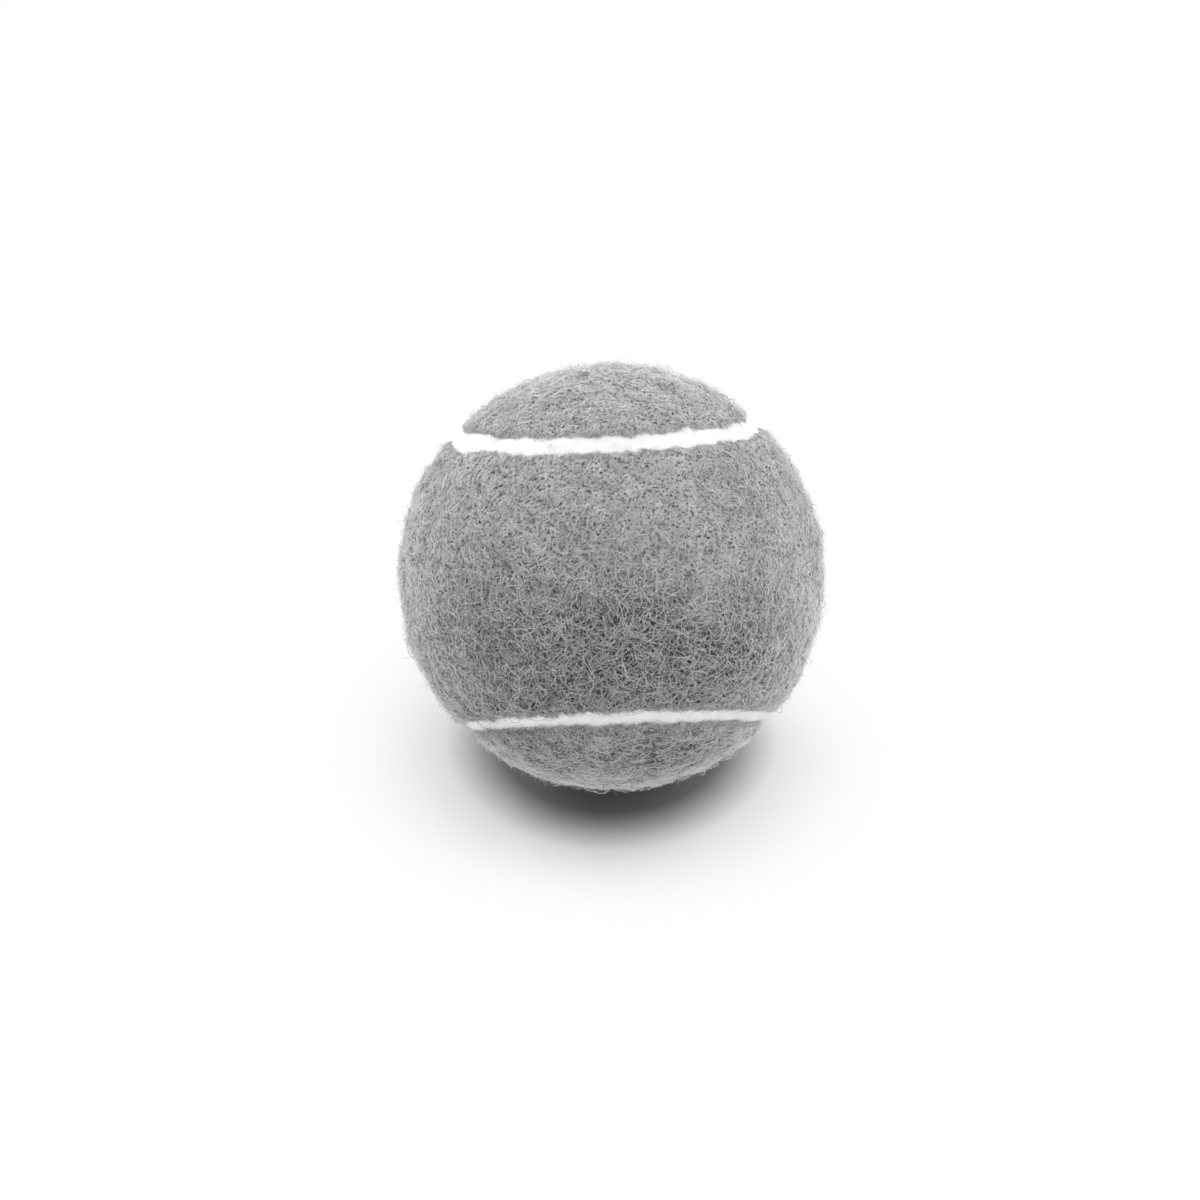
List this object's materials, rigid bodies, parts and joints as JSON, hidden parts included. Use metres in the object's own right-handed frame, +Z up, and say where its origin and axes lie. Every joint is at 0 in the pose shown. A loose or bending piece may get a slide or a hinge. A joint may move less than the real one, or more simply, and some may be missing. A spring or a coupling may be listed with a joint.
{
  "type": "tennis ball",
  "caption": "Hollow rubber ball covered in grey felt: interlocking dumbbell panels with a closed loop of white rubber seam between them.",
  "frame": {"origin": "the ball's centre, 33 mm above the surface that the ball lies on", "axes": "+Z up as the ball lies in the picture, -Y towards the viewer, +X to the viewer's right; the seam's own frame is turned from these by the named lie angles in the source"},
  "size_m": [0.066, 0.066, 0.066],
  "materials": {
    "felt": "melange grey needled felt with a raised nap",
    "seam_rubber": "matt white vulcanised rubber",
    "core_rubber": "moulded dark grey rubber, ground outside",
    "bond_cement": "cured brown rubber cement",
    "rubber_solution": "dried amber rubber solution",
    "felt_backing": "rubber spread into the back of the felt"
  },
  "bodies": {
    "root": {"core_lower": "core_rubber", "core_upper": "core_rubber", "core_bond": "bond_cement", "core_coat": "rubber_solution", "backing_front": "felt_backing", "backing_back": "felt_backing", "felt_front": "felt", "felt_back": "felt", "seam_rubber": "seam_rubber"}
  },
  "joints": []
}
